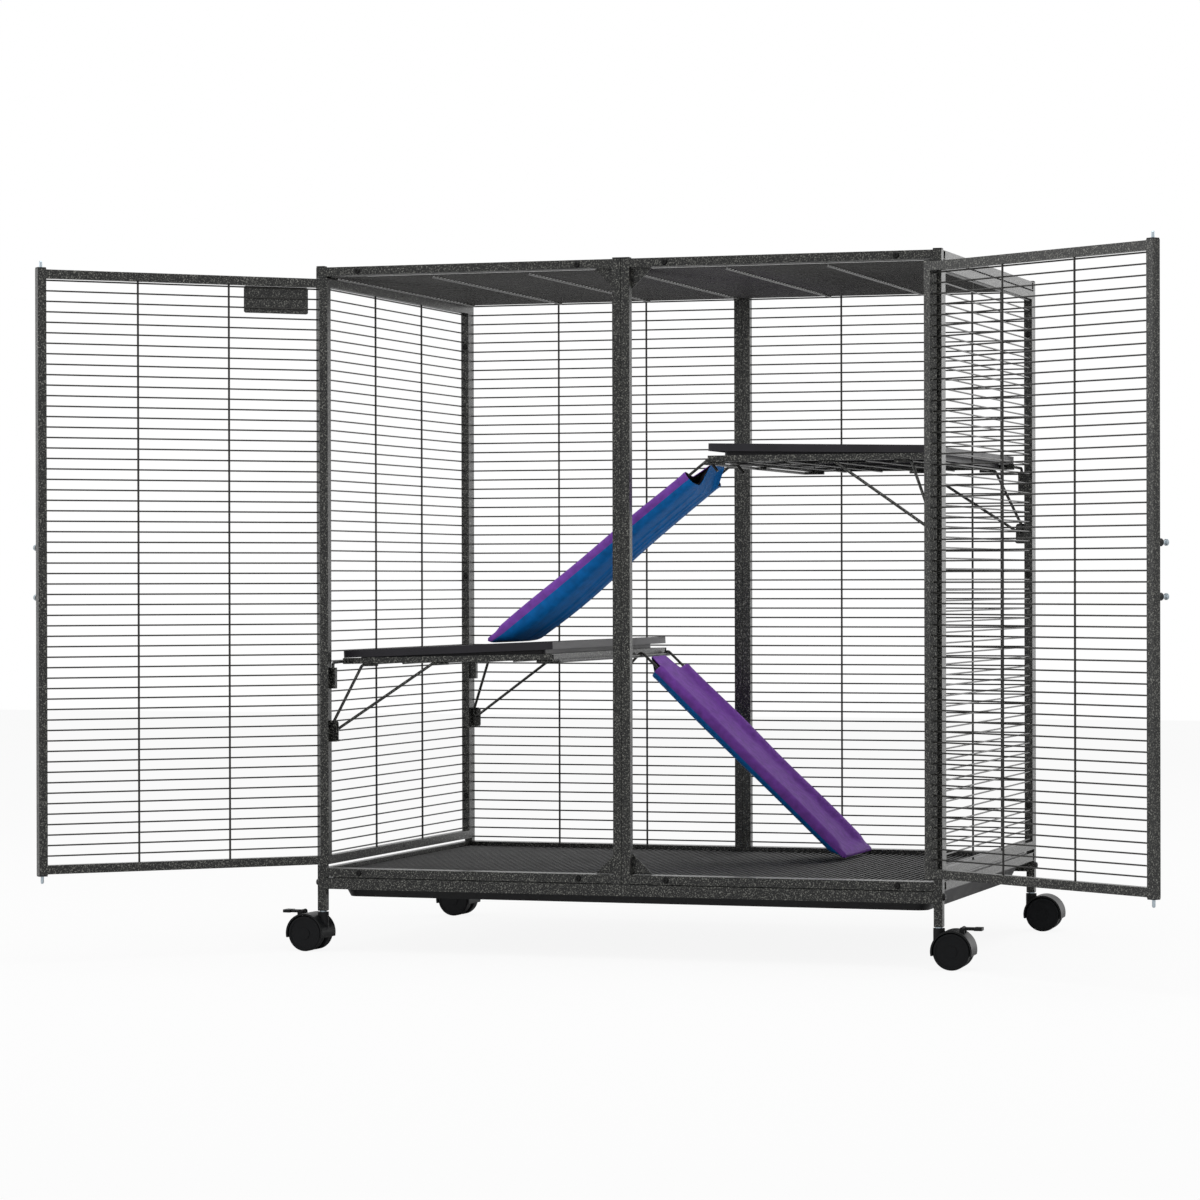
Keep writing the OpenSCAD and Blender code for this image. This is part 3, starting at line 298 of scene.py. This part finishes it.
def hammered_powder_coat(colours):
    """Hammered powder coat, satin: pale flecks a millimetre or two across on a dark ground."""
    material, tree = material_tree("hammered_powder_coat")
    where = add(tree, "ShaderNodeTexCoord").outputs["Object"]
    cells = add(
        tree, "ShaderNodeTexVoronoi", {"Vector": where, "Scale": 1 / (FLECK * MM), "Randomness": 1.0}
    )
    cloud = add(
        tree, "ShaderNodeTexNoise",
        {"Vector": where, "Scale": 1 / (FLECK_CLOUD * MM), "Detail": 3.0, "Roughness": 0.6},
    )
    both = add(
        tree, "ShaderNodeMath", {0: cells.outputs["Distance"], 1: cloud.outputs["Fac"]},
        operation="MULTIPLY",
    ).outputs[0]
    tint = add(
        tree, "ShaderNodeValToRGB", {"Fac": both}, ((0.27, colours.paint), (0.50, colours.paint_fleck))
    )
    relief = add(tree, "ShaderNodeBump", {"Height": both, "Strength": 0.5, "Distance": 0.25 * MM})
    shader = add(
        tree, "ShaderNodeBsdfPrincipled",
        {
            "Base Color": tint.outputs["Color"], "Metallic": 0.15, "Roughness": 0.38, "IOR": 1.55,
            "Specular IOR Level": 0.3, "Coat Weight": 0.2, "Coat Roughness": 0.22,
            "Normal": relief.outputs["Normal"],
        },
    )
    add(tree, "ShaderNodeOutputMaterial", {"Surface": shader.outputs["BSDF"]})
    return material


def even_finish(name, colours):
    """One of the even finishes: a fine grain in its surface and slow changes of shade and gloss."""
    look = EVEN_FINISHES[name]
    material, tree = material_tree(name)
    where = add(tree, "ShaderNodeTexCoord").outputs["Object"]
    grain = add(
        tree, "ShaderNodeTexNoise", {"Vector": where, "Scale": 1 / (look.grain * MM), "Detail": 2.0}
    )
    cloud = add(
        tree, "ShaderNodeTexNoise", {"Vector": where, "Scale": 1 / (SHADE_CLOUD * MM), "Detail": 3.0}
    ).outputs["Fac"]
    dark, light = shades(getattr(colours, look.colour), 1 - look.variation, 1 + look.variation)
    tint = add(tree, "ShaderNodeValToRGB", {"Fac": cloud}, ((0.3, dark), (0.7, light)))
    rough = add(
        tree, "ShaderNodeMapRange",
        {
            "Value": cloud, "To Min": look.roughness - ROUGHNESS_CHANGE,
            "To Max": look.roughness + ROUGHNESS_CHANGE,
        },
    )
    relief = add(
        tree, "ShaderNodeBump",
        {"Height": grain.outputs["Fac"], "Strength": 1.0, "Distance": look.depth * MM},
    )
    shader = add(
        tree, "ShaderNodeBsdfPrincipled",
        {
            "Base Color": tint.outputs["Color"], "Metallic": look.metallic,
            "Roughness": rough.outputs["Result"], "Specular IOR Level": look.gloss,
            "Normal": relief.outputs["Normal"],
        },
    )
    add(tree, "ShaderNodeOutputMaterial", {"Surface": shader.outputs["BSDF"]})
    return material


def nylon_cloth(name, colour):
    """Woven nylon: crossing threads, a faint sheen and slow mottling."""
    material, tree = material_tree(name)
    where = add(tree, "ShaderNodeUVMap", uv_map="cut").outputs["UV"]
    thread_scale = 1 / (WAVE_BANDS * THREAD * MM)
    warp, weft = (
        add(tree, "ShaderNodeTexWave", {"Vector": where, "Scale": thread_scale}, bands_direction=way)
        for way in ("X", "Y")
    )
    mottle = add(tree, "ShaderNodeTexNoise", {"Vector": where, "Scale": 1 / (MOTTLE * MM), "Detail": 4.0})
    weave = add(
        tree, "ShaderNodeMath", {0: warp.outputs["Fac"], 1: weft.outputs["Fac"]}, operation="MULTIPLY"
    )
    dark, light = shades(colour, 0.78, 1.18)
    tint = add(tree, "ShaderNodeValToRGB", {"Fac": mottle.outputs["Fac"]}, ((0.3, dark), (0.72, light)))
    relief = add(
        tree, "ShaderNodeBump", {"Height": weave.outputs[0], "Strength": 0.6, "Distance": 0.12 * MM}
    )
    shader = add(
        tree, "ShaderNodeBsdfPrincipled",
        {
            "Base Color": tint.outputs["Color"], "Roughness": 0.6, "Specular IOR Level": 0.14,
            "Sheen Weight": 0.03, "Sheen Roughness": 0.4, "Normal": relief.outputs["Normal"],
        },
    )
    add(tree, "ShaderNodeOutputMaterial", {"Surface": shader.outputs["BSDF"]})
    return material


# ---------- making pieces ----------


def to_row(x, y, z):
    """Point in the row's frame, in metres, of one given in millimetres from the left front leg end."""
    return Vector(((x - CAGE_W / 2) * MM, (y - CAGE_D / 2) * MM, (z + CASTER_H) * MM))


def flip_right():
    return Matrix.Scale(-1, 4, Vector((1, 0, 0)))


def ramp_place(ramp):
    """Matrix from a ramp's own axes, in metres, to the row's frame."""
    made = Matrix.Translation(to_row(*ramp["bar"])) @ Matrix.Rotation(math.radians(ramp["slope"]), 4, "Y")
    return flip_right() @ made if ramp["right"] else made


def door_place(side):
    """Matrix from the closed left door, in the row's frame, to the door as it stands open."""
    pin = to_row(*HINGE, 0)
    made = (
        Matrix.Translation(pin)
        @ Matrix.Rotation(math.radians(-DOOR_ANGLE[side]), 4, "Z")
        @ Matrix.Translation(-pin)
    )
    return flip_right() @ made if side == "right" else made


def finished(name, mesh_data, place, materials):
    """Turns a bmesh into an object whose place is in its vertices, with its faces pointing outwards."""
    bmesh.ops.transform(mesh_data, matrix=place, verts=mesh_data.verts)
    bmesh.ops.recalc_face_normals(mesh_data, faces=mesh_data.faces)
    mesh = bpy.data.meshes.new(name)
    mesh_data.to_mesh(mesh)
    mesh_data.free()
    made = bpy.data.objects.new(name, mesh)
    for material in materials:
        mesh.materials.append(material)
    bpy.context.scene.collection.objects.link(made)
    return made


def turned(name, profile, place, material, steps=48):
    """Solid of revolution about the local z axis from a closed profile of (radius, height), in metres."""
    made = bmesh.new()
    points = [made.verts.new((r, 0, h)) for r, h in profile]
    edges = [made.edges.new((a, b)) for a, b in zip(points, points[1:] + points[:1])]
    bmesh.ops.spin(
        made, geom=points + edges, cent=(0, 0, 0), axis=(0, 0, 1),
        angle=math.tau, steps=steps, use_merge=True,
    )
    bmesh.ops.remove_doubles(made, verts=made.verts, dist=1e-6)
    return finished(name, made, place, [material])


def smooth(a):
    """Eases from 0 to 1 as a goes from 0 to 1."""
    a = min(max(a, 0.0), 1.0)
    return a * a * (3 - 2 * a)


def even_section(count):
    """The closed cross-section as count + 1 evenly spaced points (y, z), and its length, in metres."""
    half = [Vector((y, z)) * MM for y, z in HALF_SECTION]
    ring = half + [Vector((-p.x, p.y)) for p in reversed(half[1:-1])]
    fine = []
    for i in range(len(ring)):
        # smooth curve from b to c, with a and d beside them
        a, b, c, d = (ring[(i + k) % len(ring)] for k in (-1, 0, 1, 2))
        for k in range(CURVE_STEPS):
            u = k / CURVE_STEPS
            fine.append(b + 0.5 * u * (c - a + u * (2 * a - 5 * b + 4 * c - d + u * (3 * (b - c) + d - a))))
    fine.append(fine[0])
    way = [0.0]
    for a, b in zip(fine, fine[1:]):
        way.append(way[-1] + (b - a).length)
    points, k = [], 0
    for i in range(count + 1):
        at = way[-1] * i / count
        while k < len(way) - 2 and way[k + 1] < at:
            k += 1
        points.append(fine[k].lerp(fine[k + 1], (at - way[k]) / (way[k + 1] - way[k])))
    return points, way[-1]


def folds(x, y, length):
    """Long folds in the underside, which wander and fade towards both ends."""
    out = 0.0
    for start, lean, width in FOLDS:
        wander = FOLD_WANDER * math.sin(x / FOLD_WANDER_RUN + start * FOLD_PHASE)
        middle = start + lean * x / length + wander
        out += math.exp(-(((y - middle) / width) ** 2))
    return out * smooth(x / FOLD_FADE_TOP) * smooth((length - x) / FOLD_FADE_FOOT)


def upper_relief(x, y, z, dip):
    """Height with the tread's dips between the rungs and fine creases, and the full edges' slow wave."""
    tread = 1 - smooth((abs(y) - TREAD_HALF) / TREAD_FADE)
    between = math.sin(math.pi * (x / MM - RUNG_FIRST) / RUNG_PITCH) ** 2
    bend = CREASE_BEND * math.sin(y / CREASE_BEND_RUN)
    crease = CREASE * math.sin(x / CREASE_ALONG + bend) * math.cos(y / CREASE_ACROSS)
    z += tread * (crease - dip * between)
    return z + EDGE_WAVE * (1 - tread) * math.sin(x / EDGE_ALONG + EDGE_SLANT * y / EDGE_ACROSS)


def cloth_point(along, y, z, upper, ramp, cover):
    """Where a point of the plain sleeve, at a share of the way along it, comes to lie."""
    end = (ramp["length"] + PAST_FOOT) * MM
    tongue = 1 - smooth((abs(y) - cover.tongue_half + TONGUE_IN) / TONGUE_FADE)
    start = cover.mouth - cover.tongue * tongue
    x = start + (end - start) * along
    spread = math.exp(-(((x / end - ramp["belly_at"]) / BELLY_SPREAD) ** 2))
    z += min(z, 0.0) * ramp["belly"] / BELLY_DEPTH * spread
    if upper:
        z = upper_relief(x, y, z, cover.dip)
    else:
        if abs(y) < UNDER_HALF:
            z -= cover.fold * folds(x, y, end)
        # the two cloths lie together in the tongue and part behind it
        z += (TONGUE_Z - z) * (1 - smooth((x - TONGUE_JOIN) / TONGUE_PART)) * tongue
    # lower cloth drawn up to the foot, upper cloth flat over its rod, and a round end
    if z < DRAWN_BELOW:
        z += (DRAWN_Z - z) * (1 - smooth((end - x) / DRAWN_RUN)) * DRAWN_SHARE
    if upper:
        z += (FOOT_TOP - z) * smooth((x - end + FOOT_RUN) / FOOT_RISE)
    close = (x - (end - FOOT_ROUND)) / FOOT_ROUND
    if close > 0:
        z = FOOT_MID + (z - FOOT_MID) * math.sqrt(max(1 - close * close, 0.0))
    hem = HEM * smooth(1 - abs(x - start - HEM_IN) / HEM_HALF)
    return Vector((x, y, z + hem if upper else z - hem))


def sleeve(name, ramp, cover, materials):
    """Fabric sleeve over a ramp frame: full edges, a sunk tread, a loose underside and a tongue."""
    ring, perimeter = even_section(AROUND)
    end = (ramp["length"] + PAST_FOOT) * MM
    made = bmesh.new()
    bmesh.ops.create_grid(made, x_segments=ALONG, y_segments=AROUND, size=0.5)
    cut = made.loops.layers.uv.new("cut")
    for face in made.faces:
        at = min(int((sum(v.co.y for v in face.verts) / len(face.verts) + 0.5) * AROUND), AROUND - 1)
        face.material_index = 0 if ring[at].y > SEAM_Z * MM else 1
        face.smooth = True
        for loop in face.loops:
            loop[cut].uv = ((loop.vert.co.x + 0.5) * end, (loop.vert.co.y + 0.5) * perimeter)
    for vert in made.verts:
        at = round((vert.co.y + 0.5) * AROUND)
        upper = AROUND / 4 < at < AROUND * 3 / 4
        vert.co = cloth_point(vert.co.x + 0.5, *ring[at], upper, ramp, cover)
    bmesh.ops.remove_doubles(made, verts=made.verts, dist=2e-5)
    piece = finished(name, made, ramp_place(ramp), materials)
    wall = piece.modifiers.new("cloth", "SOLIDIFY")
    wall.thickness = cover.cloth
    wall.offset = -1
    wall.material_offset = 2  # the inside takes the last material, a near-black painted shade
    return piece, (perimeter, end - cover.mouth + cover.tongue)


# ---------- operators ----------


class CAGE_OT_finishes(bpy.types.Operator):
    """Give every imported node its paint, plate or plastic"""

    bl_idname = "cage.finishes"
    bl_label = "Finishes"

    def execute(self, context):
        colours = context.scene.cage_colours
        for finish, names in NODES_BY_FINISH.items():
            if finish in EVEN_FINISHES:
                material = even_finish(finish, colours)
            else:
                material = hammered_powder_coat(colours)
            for name in names:
                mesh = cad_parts[name].data
                mesh.materials.clear()
                mesh.materials.append(material)
        return {"FINISHED"}


class CAGE_OT_ramp_covers(bpy.types.Operator):
    """Sew the fabric covers over both ramps"""

    bl_idname = "cage.ramp_covers"
    bl_label = "Ramp covers"

    def execute(self, context):
        colours, cover = context.scene.cage_colours, context.scene.cage_ramp_cover
        cloths = [
            nylon_cloth("ramp_top_cloth", colours.ramp_top),
            nylon_cloth("ramp_under_cloth", colours.ramp_under),
            # the inside of each sleeve is near-black painted shade, not a cloth of its own
            nylon_cloth("ramp_lining", colours.lining),
        ]
        for which, ramp in RAMPS.items():
            piece, flat = sleeve(f"ramp_sleeve_{which}", ramp, cover, cloths)
            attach(piece, f"ramp_{which}")
            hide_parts(f"ramp_cover_{which}")
        return {"FINISHED"}


class CAGE_OT_knob_bosses(bpy.types.Operator):
    """Fit the black bosses behind the latch knobs"""

    bl_idname = "cage.knob_bosses"
    bl_label = "Knob bosses"

    def execute(self, context):
        nylon = even_finish("boss_nylon", context.scene.cage_colours)
        inner, outer, length, soft = 2.1 * MM, 5.2 * MM, 8.4 * MM, 0.6 * MM
        profile = [
            (inner, 0), (outer - soft, 0), (outer, soft), (outer, length - 2 * soft),
            (outer - soft, length - soft / 2), (outer - 2 * soft, length), (inner, length),
        ]
        for side in DOOR_ANGLE:
            for level, z in LATCH_KNOBS.items():
                place = (
                    door_place(side)
                    @ Matrix.Translation(to_row(LATCH_ROD_X, DOOR_FACE - BOSS_GAP, z))
                    @ Matrix.Rotation(math.radians(90), 4, "X")
                )
                piece = turned(f"knob_boss_{level}_{side}", profile, place, nylon)
                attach(piece, f"latch_{level}_{side}")
        return {"FINISHED"}


def white_paper():
    """Paper of the floor: white to the eye, with the cage's soft shadow."""
    material, tree = material_tree("white_paper")
    shader = add(tree, "ShaderNodeBsdfPrincipled", {"Base Color": (*srgb("#efefef"), 1), "Roughness": 0.9})
    glow = add(tree, "ShaderNodeEmission", {"Color": (*srgb("#ffffff"), 1), "Strength": 1.0})
    seen = add(tree, "ShaderNodeLightPath").outputs["Is Camera Ray"]
    share = add(tree, "ShaderNodeMath", {0: seen, 1: FLOOR_GLOW}, operation="MULTIPLY")
    mix = add(
        tree, "ShaderNodeMixShader",
        {0: share.outputs[0], 1: shader.outputs["BSDF"], 2: glow.outputs["Emission"]},
    )
    add(tree, "ShaderNodeOutputMaterial", {"Surface": mix.outputs[0]})
    return material


def white_surround(fill):
    """Surroundings: white to the eye and in gloss, dimmer as light."""
    world = bpy.data.worlds.new("white_surround")
    world.use_nodes = True
    tree = world.node_tree
    tree.nodes.clear()
    path = add(tree, "ShaderNodeLightPath")
    seen = add(
        tree, "ShaderNodeMath", {0: path.outputs["Is Camera Ray"], 1: path.outputs["Is Glossy Ray"]},
        operation="MAXIMUM",
    )
    either = add(
        tree, "ShaderNodeMath", {0: seen.outputs[0], 1: path.outputs["Is Transmission Ray"]},
        operation="MAXIMUM",
    )
    level = add(tree, "ShaderNodeMapRange", {"Value": either.outputs[0], "To Min": fill, "To Max": 1.0})
    sky = add(
        tree, "ShaderNodeBackground", {"Color": (*srgb("#ffffff"), 1), "Strength": level.outputs["Result"]}
    )
    add(tree, "ShaderNodeOutputWorld", {"Surface": sky.outputs[0]})
    return world


def square_lamp(name, at, size, watts):
    """Square lamp that looks at the middle of the cage."""
    lamp = bpy.data.lights.new(name, "AREA")
    lamp.size = size
    lamp.energy = watts
    made = bpy.data.objects.new(name, lamp)
    made.location = at
    made.rotation_euler = (Vector(CAGE_MIDDLE) - Vector(at)).to_track_quat("-Z", "Y").to_euler()
    bpy.context.scene.collection.objects.link(made)


def photo_camera():
    """Camera with the photograph's place, turn and lens."""
    lens = bpy.data.cameras.new("photo_camera")
    lens.sensor_width = SENSOR
    lens.lens = FOCAL_PIXELS / PHOTO_PIXELS * SENSOR
    lens.clip_start, lens.clip_end = 0.1, 60
    yaw, pitch, roll = (math.radians(a) for a in (YAW, PITCH, ROLL))
    look = Vector((-math.sin(yaw) * math.cos(pitch), math.cos(yaw) * math.cos(pitch), math.sin(pitch)))
    side = Vector((math.cos(yaw), math.sin(yaw), 0))
    lift = side.cross(look)
    right = side * math.cos(roll) + lift * math.sin(roll)
    up = lift * math.cos(roll) - side * math.sin(roll)
    camera = bpy.data.objects.new("photo_camera", lens)
    turn = Matrix((right, up, -look)).transposed().to_4x4()
    camera.matrix_world = Matrix.Translation(CAMERA_AT) @ turn
    bpy.context.scene.collection.objects.link(camera)
    return camera


class CAGE_OT_stage(bpy.types.Operator):
    """Set the white floor, the soft light and the camera"""

    bl_idname = "cage.stage"
    bl_label = "Stage"

    def execute(self, context):
        scene, light = context.scene, context.scene.cage_light
        ground, paper = bmesh.new(), white_paper()
        bmesh.ops.create_grid(ground, x_segments=1, y_segments=1, size=FLOOR_HALF)
        finished("floor", ground, Matrix.Identity(4), [paper])
        scene.world = white_surround(light.fill)
        for name, (at, size) in LAMPS.items():
            square_lamp(f"lamp_{name}", at, size, getattr(light, name))
        scene.camera = photo_camera()
        scene.view_settings.view_transform = "Standard"
        return {"FINISHED"}


OPERATORS = (CAGE_OT_stage, CAGE_OT_finishes, CAGE_OT_ramp_covers, CAGE_OT_knob_bosses)


class CAGE_PT_looks(bpy.types.Panel):
    """Buttons and sizes for the cage's looks"""

    bl_idname = "CAGE_PT_looks"
    bl_label = "Cage looks"
    bl_space_type = "VIEW_3D"
    bl_region_type = "UI"
    bl_category = "Cage"

    def draw(self, context):
        for group in (context.scene.cage_colours, context.scene.cage_ramp_cover, context.scene.cage_light):
            box = self.layout.box()
            for key in group.bl_rna.properties.keys():
                if key not in {"rna_type", "name"}:
                    box.prop(group, key)
        for operator in OPERATORS:
            self.layout.operator(operator.bl_idname)


CLASSES = (CageColours, RampCover, StageLight, *OPERATORS, CAGE_PT_looks)


def register():
    for item in CLASSES:
        bpy.utils.register_class(item)
    bpy.types.Scene.cage_colours = bpy.props.PointerProperty(type=CageColours)
    bpy.types.Scene.cage_ramp_cover = bpy.props.PointerProperty(type=RampCover)
    bpy.types.Scene.cage_light = bpy.props.PointerProperty(type=StageLight)


def unregister():
    for name in ("cage_colours", "cage_ramp_cover", "cage_light"):
        delattr(bpy.types.Scene, name)
    for item in reversed(CLASSES):
        bpy.utils.unregister_class(item)


def main():
    register()
    bpy.ops.cage.stage()
    bpy.ops.cage.finishes()
    bpy.ops.cage.ramp_covers()
    bpy.ops.cage.knob_bosses()


if __name__ == "__main__":
    main()
